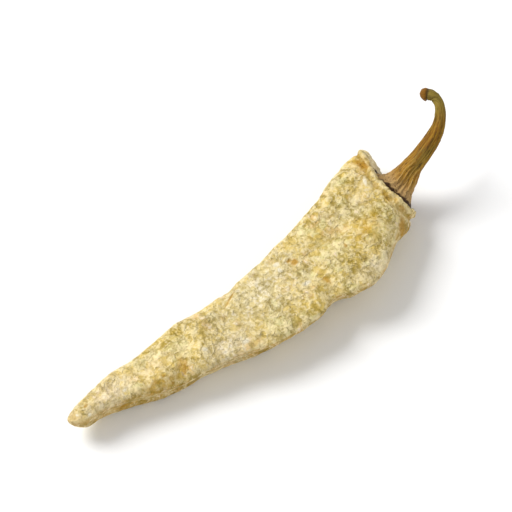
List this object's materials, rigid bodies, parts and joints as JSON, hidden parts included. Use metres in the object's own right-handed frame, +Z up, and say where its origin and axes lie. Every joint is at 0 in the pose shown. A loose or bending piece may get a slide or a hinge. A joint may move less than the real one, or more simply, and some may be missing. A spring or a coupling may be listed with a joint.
{
  "type": "dried curd chili pepper",
  "caption": "Whole dried curd chili lying on its flat side: a wrinkled, flattened, tapering pod with a rolled rim, a small calyx and a hooked stem.",
  "frame": {"origin": "centre of the bounding box, on the surface that the pod lies on", "axes": "+X from the pod's tip to its stem, +Y across the pod, +Z up"},
  "size_m": [0.0832, 0.0214, 0.0156],
  "materials": {
    "pod": "dry, crinkled skin, straw to cream, with ochre in the folds",
    "calyx": "dry and ribbed, olive brown",
    "stem": "dry and ribbed, reddish brown, olive at the hook"
  },
  "bodies": {
    "root": {"pod": "pod", "calyx": "calyx", "stem": "stem"}
  },
  "joints": []
}
